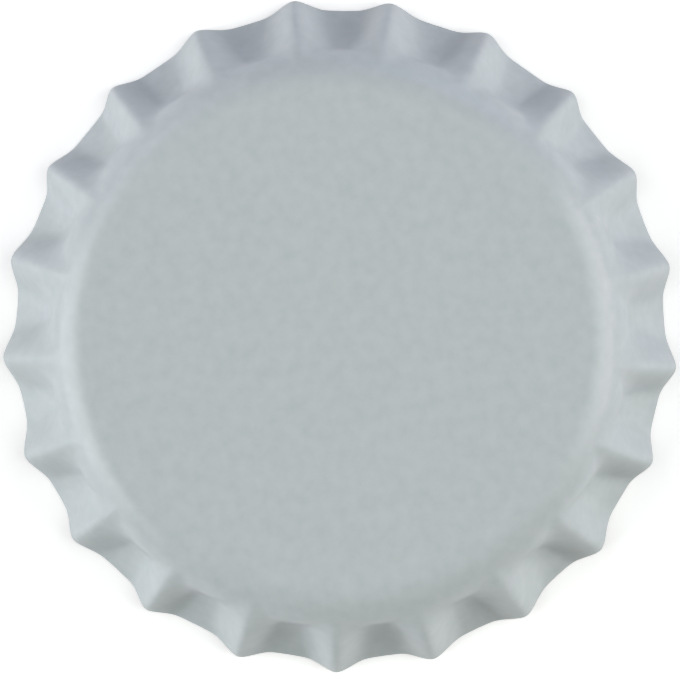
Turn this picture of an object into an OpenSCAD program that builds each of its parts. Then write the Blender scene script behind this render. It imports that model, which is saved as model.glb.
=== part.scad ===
// Crown cap: a pressed steel shell with a fluted skirt, and the sealing liner moulded inside it.
// The cap stands on its rim. Its axis is Z, the table is z = 0, and one tooth points along +X.

/* [Shell] */
// Diameter over the tips of the teeth
rim_d = 32.1; // [30:0.1:39]
// Height from the table to the top of the panel
cap_h = 6; // [5:0.1:7.5]
// Inside diameter of the neck below the shoulder, which goes over the bottle's mouth
mouth_d = 26.75; // [22:0.05:27.5]
// Thickness of the lacquered sheet
sheet_t = 0.235; // [0.18:0.005:0.3]
// Outside radius of the shoulder between the panel and the skirt
shoulder_r = 1.9; // [1.2:0.05:2.4]

/* [Teeth] */
// Number of teeth round the rim
teeth = 21; // [15:1:27]
// How far the tips stand out past the floors of the flutes, at the rim
tooth_depth = 0.63; // [0.3:0.01:1.2]
// How much higher the tips end than the flutes, which carry the cap
tip_lift = 0.5; // [0:0.05:0.8]
// Width over the feet of a tooth at the rim
foot_w = 2.5; // [1.8:0.05:2.8]
// Width over its feet where it grows out of the shoulder
root_w = 3.4; // [2.6:0.05:3.7]
// Half width of the rounded crest of a tooth at the rim
tip_round = 0.3; // [0.2:0.01:0.6]
// Half width of its rounded crest where it grows out of the shoulder
root_round = 0.55; // [0.3:0.01:1]
// How softly a tooth's foot runs into the floor of the flute, from sharp to soft
foot_blend = 0.3; // [0.1:0.01:0.5]
// Slope from upright with which the floor of a flute leaves the shoulder
neck_draft = 3; // [1:0.5:18]
// Slope from upright with which the crest of a tooth leaves the shoulder
crest_draft = 42; // [20:0.5:50]
// How far that slope leads the floor of a flute before it turns out to the rim, as a share of its length
neck_lead = 0.65; // [0.3:0.01:0.75]
// How far that slope leads the crest before it turns down to the tip, as a share of its length
crest_lead = 0.34; // [0.2:0.01:0.6]

/* [Liner] */
// Gap all round between the neck's inside and the liner's sealing ring
ring_gap = 0.425; // [0.2:0.025:1]
// Width of the sealing ring, from the web to its outside
ring_w = 2.95; // [2:0.05:3.5]
// Thickness of the thin web inside the ring
web_t = 0.3; // [0.15:0.05:0.5]
// Thickness of the sealing ring at its flat land, where the bottle's lip seats
land_t = 0.75; // [0.5:0.05:1.2]
// Radius of the round beads on both sides of the land
bead_r = 0.35; // [0.2:0.05:0.5]
// How far the beads stand out past the land
bead_proud = 0.25; // [0.1:0.05:0.3]
// Gap between the liner and the inside of the shoulder
liner_gap = 0.05; // [0.03:0.01:0.2]

/* [Hidden] */

// Fineness of the shell: steps over half a tooth, down the shoulder and down the skirt
half_steps = 6;
shoulder_steps = 4;
skirt_steps = 5;
// The steps round a tooth are closest at its crest
step_power = 1.35;
// A tooth keeps most of its width near the shoulder and loses it towards the rim
taper_power = 1.6;
// Small step with which the slope of the sheet is measured
probe = 0.001;

pitch = 360 / teeth;
panel_r = mouth_d / 2 + sheet_t - shoulder_r;
panel_under = cap_h - sheet_t;
// Middle of the shoulder's rounding, as [radius, height]
shoulder_mid = [panel_r, cap_h - shoulder_r];
// Outer edges of the rim, as [radius, height], at a flute and at a tip
flute_r = rim_d / 2 - tooth_depth;
flute_edge = [flute_r, seat_height()];
tip_edge = flute_edge + [tooth_depth, tip_lift];
// Length round the skirt that one tooth and one flute take, at the shoulder and at the rim
root_pitch = 2 * PI * (mouth_d / 2 + sheet_t) / teeth;
rim_pitch = 2 * PI * flute_r / teeth;

function mix(a, b, share) = a + (b - a) * share;

function unit(v) = v / norm(v);

// Direction out of the sheet where it slopes from upright by this angle, as [radius, height]
function facing(slope) = [cos(slope), sin(slope)];

// Where the shoulder's rounding ends and the flare begins
function neck(draft) = shoulder_mid + shoulder_r * facing(draft);

// Point straight down the neck's slope that bends the flare on its way to this edge
function lead_point(edge, draft, lead) =
    neck(draft) + lead * norm(edge - neck(draft)) * [sin(draft), -cos(draft)];

// Height of a flute's outer edge that sets its inner edge on the table
function seat_height(z = 0, tries = 5) =
    let (run = unit([flute_r, z] - lead_point([flute_r, z], neck_draft, neck_lead)))
    tries == 0 ? z : seat_height(sheet_t * run.x, tries - 1);

// Outer profile from the panel (down = -1) over the foot of the shoulder (0) to the rim (1)
function profile(edge, draft, lead, down) =
    let (bend = lead_point(edge, draft, lead))
    down <= 0 ? shoulder_mid + shoulder_r * facing(90 - (1 + down) * (90 - draft))
    : mix(mix(neck(draft), bend, down), mix(bend, edge, down), down);

// Tent with a rounded crest and soft feet: 1 at the crest, almost 0 past its half width
function tent(across, half_width, round) =
    let (fall = 1 - (norm([across, round]) - round) / (norm([half_width, round]) - round))
    (fall + norm([fall, foot_blend])) / 2;

// Share of the tooth's depth at this place: 1 on the crest, 0 in the middle of the flute
function tooth(share, down) =
    let (
        length = mix(root_pitch, rim_pitch, down),
        half_width = mix(root_w, foot_w, pow(down, taper_power)) / 2,
        round = mix(root_round, tip_round, down),
        floor = tent(length / 2, half_width, round)
    )
    (tent(share * length, half_width, round) - floor) / (tent(0, half_width, round) - floor);

// Outside of the sheet, where share is the place between two flutes, from -0.5 to 0.5
function skin(share, down) =
    let (
        rise = tooth(share, max(down, 0)),
        edge = mix(flute_edge, tip_edge, rise),
        draft = mix(neck_draft, crest_draft, rise),
        at = profile(edge, draft, mix(neck_lead, crest_lead, rise), down)
    )
    [at.x * cos(share * pitch), at.x * sin(share * pitch), at.y];

// Inside of the sheet, one thickness straight through it
function lining(share, down) =
    let (
        along = skin(share, down + probe) - skin(share, down - probe),
        across = skin(share + probe, down) - skin(share - probe, down)
    )
    skin(share, down) - sheet_t * unit(cross(along, across));

function turned(p, angle) =
    [p.x * cos(angle) - p.y * sin(angle), p.x * sin(angle) + p.y * cos(angle), p.z];

// One sheet of even thickness: rings down its outside, round the cut edge and up its inside
module shell() {
    shares = [for (i = [-half_steps : half_steps - 1]) sign(i) * pow(abs(i) / half_steps, step_power) / 2];
    downs = [
        for (i = [-shoulder_steps : 0]) i / shoulder_steps,
        for (i = [1 : skirt_steps]) i / skirt_steps
    ];
    last = len(downs) - 1;
    outer = [for (down = downs) [for (share = shares) skin(share, down)]];
    inner = [for (i = [last : -1 : 0]) [for (share = shares) lining(share, downs[i])]];
    rows = concat(outer, inner);
    around = teeth * len(shares);
    points = [for (row = rows) for (k = [0 : teeth - 1]) for (p = row) turned(p, k * pitch)];
    walls = [
        for (row = [0 : len(rows) - 2]) for (i = [0 : around - 1])
            let (
                a = row * around + i,
                b = row * around + (i + 1) % around
            )
            each [[a, b, b + around], [a, b + around, a + around]]
    ];
    top = [for (i = [around - 1 : -1 : 0]) i];
    underside = [for (i = [0 : around - 1]) (len(rows) - 1) * around + i];
    color("#c9cfd0") polyhedron(points, concat([top, underside], walls), convexity = 6);
}

// Round bead of the sealing ring, at this distance from the axis
module bead(r) {
    translate([r, panel_under - land_t - bead_proud + bead_r]) circle(bead_r, $fn = 48);
}

// Room under the panel and inside the shoulder, less the liner's gap
module room() {
    inside_r = shoulder_r - sheet_t - liner_gap;
    translate([0, panel_under - land_t - 2 * bead_r]) square([panel_r, land_t + 2 * bead_r]);
    translate([panel_r, cap_h - shoulder_r]) circle(inside_r, $fn = 96);
}

// Disc with a thin web and a thick sealing ring, whose flat land lies between two beads
module liner() {
    liner_r = mouth_d / 2 - ring_gap;
    web_r = liner_r - ring_w;
    color("#e3e3de") rotate_extrude($fn = 180) intersection() {
        union() {
            translate([0, panel_under - web_t]) square([liner_r, web_t]);
            translate([web_r, panel_under - land_t]) square([ring_w, land_t]);
            bead(web_r + bead_r);
            bead(liner_r - bead_r);
        }
        room();
    }
}

shell();
liner();
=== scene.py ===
"""A plain crown cap, new and not yet crimped: a lacquered steel shell and its moulded sealing liner.

The cap stands on its rim in the frame's own axes, in metres. +Z is up through the panel and one tooth points
along +X.
"""

import math

import bpy
from mathutils import Matrix, Vector


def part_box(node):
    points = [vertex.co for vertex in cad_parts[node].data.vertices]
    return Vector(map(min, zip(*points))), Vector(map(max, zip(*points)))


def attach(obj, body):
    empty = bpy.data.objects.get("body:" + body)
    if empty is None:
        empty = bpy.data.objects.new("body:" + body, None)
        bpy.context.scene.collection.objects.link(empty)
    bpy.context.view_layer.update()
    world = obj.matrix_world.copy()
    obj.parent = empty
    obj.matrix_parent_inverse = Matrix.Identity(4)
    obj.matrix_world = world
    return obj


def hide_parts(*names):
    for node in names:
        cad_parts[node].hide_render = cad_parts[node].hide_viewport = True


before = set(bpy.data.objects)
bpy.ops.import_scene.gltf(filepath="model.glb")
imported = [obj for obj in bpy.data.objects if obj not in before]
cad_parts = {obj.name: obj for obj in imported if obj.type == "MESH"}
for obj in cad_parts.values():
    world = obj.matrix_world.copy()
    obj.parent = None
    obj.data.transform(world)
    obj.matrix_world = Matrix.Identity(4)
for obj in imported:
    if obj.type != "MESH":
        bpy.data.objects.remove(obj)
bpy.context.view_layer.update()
MM = 0.001


# Shell. One disc of steel sheet, lacquered on both sides, cut out and drawn over a punch in a single stroke.
# The flat panel turns down over a round shoulder into a skirt that flares, and 21 folds stand out of it as
# teeth. The disc's cut edge is bare metal, and the press leaves no two teeth quite alike.
shell_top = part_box("shell")[1]
cap_height = shell_top.z
tip_radius = shell_top.x
tooth_depth = 0.63 * MM
sheet = 0.235 * MM
shoulder = 1.9 * MM
panel_radius = 26.75 / 2 * MM + sheet - shoulder
teeth = 21
cut_edge_rounding = 0.03 * MM


class Term:
    """A value inside a node tree: sums, products and functions of terms become Math nodes."""

    def __init__(self, tree, socket):
        self.tree = tree
        self.socket = socket

    def maths(self, operation, *others, clamp=False):
        node = self.tree.nodes.new("ShaderNodeMath")
        node.operation = operation
        node.use_clamp = clamp
        for slot, value in zip(node.inputs, (self, *others)):
            if isinstance(value, Term):
                self.tree.links.new(value.socket, slot)
            else:
                slot.default_value = value
        return Term(self.tree, node.outputs[0])

    def __add__(self, other):
        return self.maths("ADD", other)

    def __sub__(self, other):
        return self.maths("SUBTRACT", other)

    def __mul__(self, other):
        return self.maths("MULTIPLY", other)

    def __truediv__(self, other):
        return self.maths("DIVIDE", other)

    def sin(self):
        return self.maths("SINE")

    def cos(self):
        return self.maths("COSINE")

    def length_with(self, other):
        """Long side of the right triangle on self and other."""
        return (self * self + other * other).maths("SQRT")

    def towards(self, other, share):
        """The value this share of the way to other."""
        return self + (other - self) * share


def node_input(tree, name, kind, value):
    """Adds a named input, with its usual value, to a geometry tree."""
    tree.interface.new_socket(name=name, in_out="INPUT", socket_type=kind).default_value = value


def sheet_profile(edge_radius, edge_height, draft, lead, sizes, shares):
    """Radius and height of the sheet's outside along one upright section, as (radius, height).

    It runs over the flat panel and round the shoulder, which it leaves at this draft. The flare keeps that
    slope for a while, as long as lead says, and then bends to the rim's edge.
    """
    over_panel, over_shoulder, over_skirt = shares
    shoulder_radius = sizes["Shoulder radius"]
    out = edge_radius - sizes["Panel radius"] - draft.cos() * shoulder_radius
    drop = sizes["Cap height"] - edge_height - shoulder_radius + draft.sin() * shoulder_radius
    reach = out.length_with(drop) * lead * (over_skirt - over_skirt * over_skirt) * 2.0
    past = over_skirt * over_skirt
    turn = (draft * -1.0 + math.pi / 2) * over_shoulder
    bent_out = turn.sin() * shoulder_radius
    bent_down = (turn.cos() * -1.0 + 1.0) * shoulder_radius
    radius = sizes["Panel radius"] * over_panel + bent_out + reach * draft.sin() + out * past
    height = sizes["Cap height"] - bent_down - reach * draft.cos() - drop * past
    return radius, height


def tent(across, half_width, crest, hollow, blend):
    """Section of a fold: 1 on its rounded crest, hollow flanks, and a soft run to the flute's floor at 0."""
    straight = (across.length_with(crest) - crest) / (half_width.length_with(crest) - crest)
    over_flank = across / half_width
    fall = (straight + (straight - over_flank * over_flank) * hollow) * -1.0 + 1.0
    return (fall + fall.length_with(blend)) * 0.5


def fluted_shell_tree(lacquer):
    """Geometry tree that presses a sheet: a grid of rings and upright sections, bent to the cap's outside."""
    tree = bpy.data.node_groups.new("fluted shell", "GeometryNodeTree")
    floats = {
        "Cap height": cap_height,
        "Tip radius": tip_radius,
        "Tooth depth": tooth_depth,
        "Flute edge height": 0.168 * MM,
        "Tip lift": 0.6 * MM,
        "Panel radius": panel_radius,
        "Shoulder radius": shoulder,
        "Neck draft": math.radians(3),
        "Crest draft": math.radians(51),
        "Neck lead": 0.54,
        "Crest lead": 0.5,
        "Foot width": 2.55 * MM,
        "Root width": 3.25 * MM,
        "Taper of the width": 1.4,
        "Tip rounding": 0.33 * MM,
        "Root rounding": 0.3 * MM,
        "Root blend": 0.1,
        "Rim blend": 0.32,
        "Hollow of the flanks": 0.2,
        "Lean of a tooth": 0.039,
        "Spread of widths": 0.12,
        "Spread of tips": 0.1 * MM,
    }
    counts = {
        "Teeth": teeth,
        "Steps in a tooth": 40,
        "Panel rings": 8,
        "Shoulder rings": 14,
        "Skirt rings": 26,
    }
    seeds = {"Seed of leans": 1317611, "Seed of widths": 1496594, "Seed of tips": 118655}
    for name, value in floats.items():
        node_input(tree, name, "NodeSocketFloat", value)
    for name, value in (counts | seeds).items():
        node_input(tree, name, "NodeSocketInt", value)
    tree.interface.new_socket(name="Geometry", in_out="OUTPUT", socket_type="NodeSocketGeometry")
    given = tree.nodes.new("NodeGroupInput")
    sizes = {name: Term(tree, given.outputs[name]) for name in (*floats, *counts)}

    grid = tree.nodes.new("GeometryNodeMeshGrid")
    rings = sizes["Panel rings"] + sizes["Shoulder rings"] + sizes["Skirt rings"]
    around = sizes["Teeth"] * sizes["Steps in a tooth"]
    grid_sizes = {
        "Size X": sizes["Teeth"],
        "Size Y": rings,
        "Vertices X": around + 1.0,
        "Vertices Y": rings + 1.0,
    }
    for slot, term in grid_sizes.items():
        tree.links.new(term.socket, grid.inputs[slot])

    place = tree.nodes.new("ShaderNodeSeparateXYZ")
    tree.links.new(tree.nodes.new("GeometryNodeInputPosition").outputs[0], place.inputs[0])
    along = Term(tree, place.outputs["X"])
    ring = rings * 0.5 - Term(tree, place.outputs["Y"])
    past_panel = ring - sizes["Panel rings"]
    past_shoulder = past_panel - sizes["Shoulder rings"]
    over_panel = (ring / sizes["Panel rings"]).maths("MINIMUM", 1.0)
    over_shoulder = (past_panel / sizes["Shoulder rings"]).maths("ADD", 0.0, clamp=True)
    over_skirt = (past_shoulder / sizes["Skirt rings"]).maths("ADD", 0.0, clamp=True)

    number = (along + 0.5).maths("FLOOR")
    share = along - number

    def spread(amount, seed):
        """A number for each tooth, evenly spread from -amount to amount."""
        node = tree.nodes.new("FunctionNodeRandomValue")
        node.data_type = "FLOAT"
        node.inputs[2].default_value = -1
        node.inputs[3].default_value = 1
        tree.links.new(number.socket, node.inputs["ID"])
        tree.links.new(given.outputs[seed], node.inputs["Seed"])
        return amount * Term(tree, node.outputs[1])

    fade = (share * math.pi).cos()
    leaned = share - spread(sizes["Lean of a tooth"], "Seed of leans") * fade * fade
    width_factor = spread(sizes["Spread of widths"], "Seed of widths") + 1.0
    flute_radius = sizes["Tip radius"] - sizes["Tooth depth"]
    root_pitch = (sizes["Panel radius"] + sizes["Shoulder radius"]) * (2 * math.pi) / sizes["Teeth"]
    rim_pitch = flute_radius * (2 * math.pi) / sizes["Teeth"]
    pitch = root_pitch.towards(rim_pitch, over_skirt)
    taper = over_skirt.maths("POWER", sizes["Taper of the width"])
    full_width = sizes["Root width"].towards(sizes["Foot width"], taper) * width_factor
    half_width = (full_width * 0.5).maths("MINIMUM", pitch * 0.49)
    crest = sizes["Root rounding"].towards(sizes["Tip rounding"], over_skirt.maths("SQRT")) * width_factor
    blend = sizes["Root blend"].towards(sizes["Rim blend"], over_skirt)
    section = (half_width, crest, sizes["Hollow of the flanks"], blend)
    floor = tent(pitch * 0.5, *section)
    top = tent(pitch * 0.0, *section)
    rise = (tent(leaned * pitch, *section) - floor) / (top - floor)

    shy = (sizes["Spread of tips"] - spread(sizes["Spread of tips"], "Seed of tips")) * 0.5
    radius, height = sheet_profile(
        flute_radius + (sizes["Tooth depth"] - shy) * rise,
        sizes["Flute edge height"] + sizes["Tip lift"] * rise,
        sizes["Neck draft"].towards(sizes["Crest draft"], rise),
        sizes["Neck lead"].towards(sizes["Crest lead"], rise),
        sizes,
        (over_panel, over_shoulder, over_skirt),
    )
    angle = along * (2 * math.pi) / sizes["Teeth"]

    shaped = tree.nodes.new("ShaderNodeCombineXYZ")
    for slot, term in zip(shaped.inputs, (radius * angle.cos(), radius * angle.sin(), height)):
        tree.links.new(term.socket, slot)
    bend = tree.nodes.new("GeometryNodeSetPosition")
    weld = tree.nodes.new("GeometryNodeMergeByDistance")
    weld.inputs["Distance"].default_value = 0.001 * MM
    paint = tree.nodes.new("GeometryNodeSetMaterial")
    paint.inputs["Material"].default_value = lacquer
    real = tree.nodes.new("GeometryNodeRealizeInstances")
    result = tree.nodes.new("NodeGroupOutput")
    tree.links.new(shaped.outputs[0], bend.inputs["Position"])
    chain = [grid, bend, weld, real, paint, result]
    for before, after in zip(chain, chain[1:]):
        tree.links.new(before.outputs[0], after.inputs[0])
    return tree


def made_by(tree, name):
    """The plain mesh object that a geometry tree makes with its own default sizes."""
    maker = bpy.data.objects.new(name + " maker", bpy.data.meshes.new(name + " maker"))
    bpy.context.scene.collection.objects.link(maker)
    maker.modifiers.new("shape", "NODES").node_group = tree
    evaluated = maker.evaluated_get(bpy.context.evaluated_depsgraph_get())
    mesh = bpy.data.meshes.new_from_object(evaluated)
    bpy.data.objects.remove(maker)
    piece = bpy.data.objects.new(name, mesh)
    bpy.context.scene.collection.objects.link(piece)
    return piece


def new_finish(name):
    """A new material with its Principled shader: (material, its node tree, the shader)."""
    material = bpy.data.materials.new(name)
    material.use_nodes = True
    tree = material.node_tree
    return material, tree, tree.nodes["Principled BSDF"]


def grain(tree, scale, detail=2.0, stretch=(1, 1, 1)):
    """Noise on the piece's own coordinates, with this many waves a metre."""
    place = tree.nodes.new("ShaderNodeTexCoord")
    mapping = tree.nodes.new("ShaderNodeMapping")
    mapping.inputs["Scale"].default_value = stretch
    noise = tree.nodes.new("ShaderNodeTexNoise")
    noise.inputs["Scale"].default_value = scale
    noise.inputs["Detail"].default_value = detail
    tree.links.new(place.outputs["Object"], mapping.inputs["Vector"])
    tree.links.new(mapping.outputs[0], noise.inputs["Vector"])
    return noise.outputs[0]


def between(tree, value, low, high, socket):
    """Sends value, which runs about from 0.2 to 0.8, to a socket as a number from low to high."""
    spread = tree.nodes.new("ShaderNodeMapRange")
    spread.inputs["From Min"].default_value = 0.2
    spread.inputs["From Max"].default_value = 0.8
    spread.inputs["To Min"].default_value = low
    spread.inputs["To Max"].default_value = high
    tree.links.new(value, spread.inputs["Value"])
    tree.links.new(spread.outputs[0], socket)


def blend_colours(tree, value, low, high, socket):
    """Sends the colour between low and high, at this value, to a socket."""
    mix = tree.nodes.new("ShaderNodeMix")
    mix.data_type = "RGBA"
    mix.inputs[6].default_value = (*low, 1)
    mix.inputs[7].default_value = (*high, 1)
    between(tree, value, 0, 1, mix.inputs[0])
    tree.links.new(mix.outputs[2], socket)


def roughen(tree, shader, value, height):
    """Fine relief from a noise, this many metres high."""
    bump = tree.nodes.new("ShaderNodeBump")
    bump.inputs["Strength"].default_value = 1.0
    bump.inputs["Distance"].default_value = height
    tree.links.new(value, bump.inputs["Height"])
    tree.links.new(bump.outputs[0], shader.inputs["Normal"])


def shell_lacquer():
    """Pale cool grey-white stoving lacquer, satin, with the faint peel of a rolled-on coat."""
    material, tree, shader = new_finish("shell lacquer")
    dark, pale = (0.432, 0.479, 0.489), (0.496, 0.531, 0.544)
    blend_colours(tree, grain(tree, 1700, 3), dark, pale, shader.inputs["Base Color"])
    between(tree, grain(tree, 400), 0.30, 0.34, shader.inputs["Roughness"])
    roughen(tree, shader, grain(tree, 1500), 0.0005 * MM)
    return material


def inside_lacquer():
    """Clear lacquer over the bright sheet, with the faint lines of the rolling mill."""
    material, tree, shader = new_finish("inside lacquer")
    lines = grain(tree, 500, 4, (1, 14, 1))
    blend_colours(tree, lines, (0.52, 0.52, 0.50), (0.62, 0.62, 0.60), shader.inputs["Base Color"])
    between(tree, lines, 0.30, 0.42, shader.inputs["Roughness"])
    shader.inputs["Metallic"].default_value = 0.9
    shader.inputs["Coat Weight"].default_value = 0.6
    shader.inputs["Coat Roughness"].default_value = 0.2
    return material


def cut_steel():
    """Bare sheared steel at the rim."""
    material, tree, shader = new_finish("cut steel")
    marks = grain(tree, 6000, 3)
    blend_colours(tree, marks, (0.30, 0.31, 0.32), (0.42, 0.43, 0.44), shader.inputs["Base Color"])
    between(tree, marks, 0.35, 0.55, shader.inputs["Roughness"])
    shader.inputs["Metallic"].default_value = 1.0
    return material


shell = made_by(fluted_shell_tree(shell_lacquer()), "pressed_shell")
shell.data.materials.append(inside_lacquer())
shell.data.materials.append(cut_steel())
shell.data.shade_smooth()
wall = shell.modifiers.new("sheet", "SOLIDIFY")
wall.thickness = sheet
wall.offset = -1
wall.use_even_offset = True
wall.material_offset = 1
wall.material_offset_rim = 2
rounding = shell.modifiers.new("cut edge", "BEVEL")
rounding.width = cut_edge_rounding
rounding.segments = 2
rounding.limit_method = "ANGLE"
rounding.angle_limit = math.radians(60)
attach(shell, "root")
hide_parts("shell")


# Liner. A pellet of soft off-white sealing compound, pressed hot into the shell, where it sticks to the
# lacquer. It is a thin web with a thick ring, and the bottle's lip seats on the flat land between the ring's
# two beads.
def sealing_compound():
    """Matt off-white compound that lets a little light through."""
    material, tree, shader = new_finish("sealing compound")
    dark, pale = (0.72, 0.72, 0.68), (0.80, 0.80, 0.76)
    blend_colours(tree, grain(tree, 700, 3), dark, pale, shader.inputs["Base Color"])
    between(tree, grain(tree, 1500), 0.38, 0.50, shader.inputs["Roughness"])
    roughen(tree, shader, grain(tree, 3000), 0.001 * MM)
    shader.inputs["Subsurface Weight"].default_value = 0.15
    shader.inputs["Subsurface Scale"].default_value = 0.5 * MM
    return material


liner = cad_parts["liner"]
liner.data.materials.clear()
liner.data.materials.append(sealing_compound())


# Stand. A plain pale sheet under the cap, which looks white to the camera and keeps the cap's shadow.
lift_to_white = 0.38


def white_ground():
    """Matt pale ground. What the camera sees of it is lifted to white, less the cap's shadow."""
    material, tree, shader = new_finish("white ground")
    shader.inputs["Base Color"].default_value = (0.85, 0.85, 0.85, 1)
    shader.inputs["Roughness"].default_value = 0.9
    shader.inputs["Emission Color"].default_value = (1, 1, 1, 1)
    seen_by_camera = Term(tree, tree.nodes.new("ShaderNodeLightPath").outputs["Is Camera Ray"])
    tree.links.new((seen_by_camera * lift_to_white).socket, shader.inputs["Emission Strength"])
    return material


bpy.ops.mesh.primitive_plane_add(size=4)
ground = bpy.context.object
ground.name = "ground"
ground.data.materials.append(white_ground())


# Camera. It looks almost straight down on the panel, a little from behind and from the right, through a long
# lens.
camera_turn = math.radians(-12.32)
camera_distance = 0.4
field_width = 32.32 * MM
lean_right = math.radians(1.2)
lean_up = math.radians(2.1)
picture_right = Vector((math.cos(camera_turn), math.sin(camera_turn), 0))
picture_up = Vector((-picture_right.y, picture_right.x, 0))
aim = picture_up * -0.054 * MM + Vector((0, 0, 0.3 * MM))
leaning = picture_right * math.tan(lean_right) + picture_up * math.tan(lean_up)
back = (leaning + Vector((0, 0, 1))).normalized()
side = (picture_right - back * picture_right.dot(back)).normalized()
camera = bpy.data.objects.new("camera", bpy.data.cameras.new("camera"))
bpy.context.scene.collection.objects.link(camera)
camera.matrix_world = Matrix.Translation(aim + back * camera_distance) @ Matrix(
    (side, back.cross(side), back)
).transposed().to_4x4()
camera.data.lens = camera.data.sensor_width * camera_distance / field_width
camera.data.clip_start = 0.01
bpy.context.scene.camera = camera


# Lights. A wide soft box at the left and one at the right of the picture, with weaker ones between them. A
# colour comes out about as it is written. No light stands in front, so the flutes there are the darkest.
def soft_box(name, turn, tilt, size, colour):
    """A soft box that faces the cap, turned from the picture's right and tilted from overhead, in degrees.

    Its size is its width and height in metres, and its colour sets its level.
    """
    distance = 0.5
    light = bpy.data.lights.new(name, "AREA")
    light.shape = "RECTANGLE"
    light.size, light.size_y = size
    light.energy = 4 * light.size * light.size_y
    light.color = colour
    box = bpy.data.objects.new(name, light)
    bpy.context.scene.collection.objects.link(box)
    flat = picture_right * math.cos(math.radians(turn)) + picture_up * math.sin(math.radians(turn))
    towards = flat * math.sin(math.radians(tilt)) + Vector((0, 0, math.cos(math.radians(tilt))))
    level = towards.cross(Vector((0, 0, 1))).normalized()
    box.matrix_world = Matrix.Translation(towards * distance) @ Matrix(
        (level, towards.cross(level), towards)
    ).transposed().to_4x4()


soft_box("left soft box", 190, 66, (0.48, 0.44), (2.90, 2.95, 3.05))
soft_box("right soft box", 2, 64, (0.48, 0.38), (2.80, 2.70, 2.70))
soft_box("upper left soft box", 180, 36, (0.36, 0.20), (0.85, 0.85, 0.70))
soft_box("upper right soft box", 0, 34, (0.34, 0.24), (1.70, 1.90, 1.80))
soft_box("rear left soft box", 140, 62, (0.25, 0.30), (0.95, 0.90, 1.10))
soft_box("rear right soft box", 66, 74, (0.30, 0.24), (0.65, 0.70, 1.30))
soft_box("overhead soft box", 0, 1, (0.25, 0.25), (0.50, 0.50, 0.35))
world = bpy.data.worlds.new("pale room")
world.use_nodes = True
world.node_tree.nodes["Background"].inputs["Color"].default_value = (0.97, 0.985, 1.0, 1)
world.node_tree.nodes["Background"].inputs["Strength"].default_value = 0.02
bpy.context.scene.world = world
bpy.context.scene.view_settings.view_transform = "Standard"
